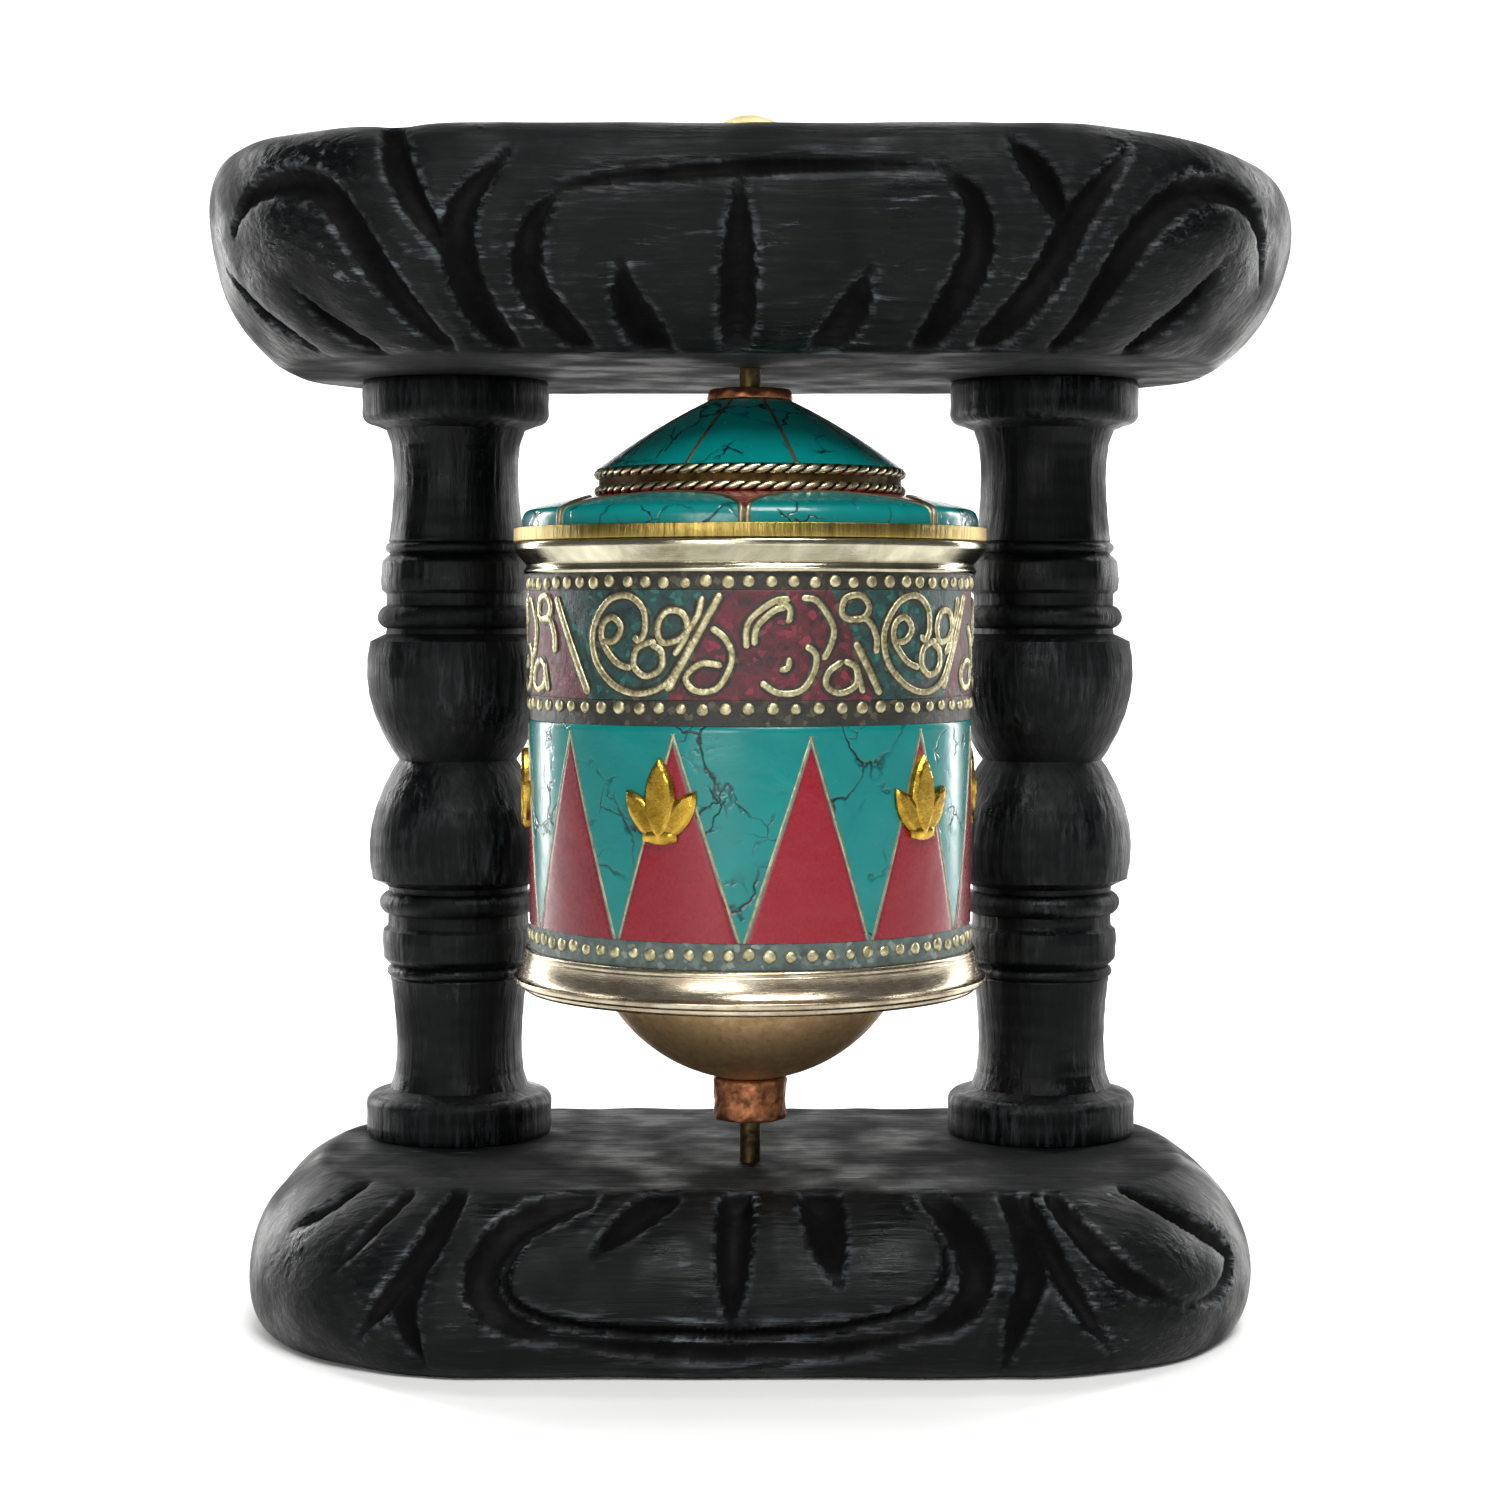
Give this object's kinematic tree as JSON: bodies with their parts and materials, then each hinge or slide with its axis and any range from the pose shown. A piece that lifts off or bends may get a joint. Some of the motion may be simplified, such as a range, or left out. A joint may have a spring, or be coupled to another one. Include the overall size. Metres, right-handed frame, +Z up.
{
  "type": "tabletop prayer wheel",
  "caption": "Tabletop prayer wheel: an inlaid metal drum that spins on a rod between two carved dark wooden boards joined by turned pillars.",
  "frame": {"origin": "middle of the base board's underside, on the surface that the stand rests on", "axes": "+Z up along the spindle, +X to the right along the boards, -Y towards the front, where the drum hangs ahead of the pillars"},
  "size_m": [0.1638, 0.1, 0.1845],
  "materials": {
    "black_wood": "satin black stain over carved wood",
    "steel": "plain",
    "rod_steel": "aged brown",
    "brass": "polished",
    "dull_brass": "dull sheet",
    "white_metal": "polished",
    "bronze": "spun",
    "copper": "hammered",
    "turquoise": "polished",
    "coral": "polished",
    "dark_paste": "rough filler",
    "grey_paste": "rough filler",
    "teal_paste": "rough filler",
    "coral_paste": "rough filler",
    "dark_band": "tarnished",
    "paper": "plain"
  },
  "bodies": {
    "stand": {"base_board": "black_wood", "top_board": "black_wood", "left_pillar": "black_wood", "right_pillar": "black_wood", "lower_screws": "steel", "upper_screws": "steel", "spindle": "rod_steel", "cap_washer": "brass", "cap_nut": "brass", "foot_washer": "steel", "foot_nut": "steel", "thrust_collar": "brass"},
    "wheel": {"core_tube": "brass", "drum_shell": "dull_brass", "drum_floor": "dull_brass", "prayer_roll": "paper", "top_flange": "white_metal", "edge_band": "brass", "shoulder_plate": "dull_brass", "shoulder_coral": "coral", "shoulder_turquoise": "turquoise", "shoulder_wires": "brass", "rope_band": "dark_band", "upper_rope": "white_metal", "lower_rope": "white_metal", "cone_shell": "dull_brass", "cone_turquoise": "turquoise", "cone_wires": "brass", "top_bush": "copper", "upper_dot_strip": "dark_paste", "upper_dots": "white_metal", "scroll_teal": "teal_paste", "scroll_coral": "coral_paste", "field_wires": "brass", "scroll_wires": "brass", "lower_dot_strip": "dark_paste", "lower_dots": "white_metal", "triangle_turquoise": "turquoise", "triangle_coral": "coral", "triangle_wires": "brass", "lotus_ornaments": "brass", "base_dot_strip": "grey_paste", "base_dots": "white_metal", "bottom_flange": "white_metal", "bottom_bowl": "bronze", "bottom_bush": "copper"}
  },
  "joints": [
    {"name": "wheel_spin", "type": "hinge", "parent": "stand", "child": "wheel", "pos_m": [0, -0.012, 0.085], "axis": [0, 0, 1], "continuous": true}
  ]
}
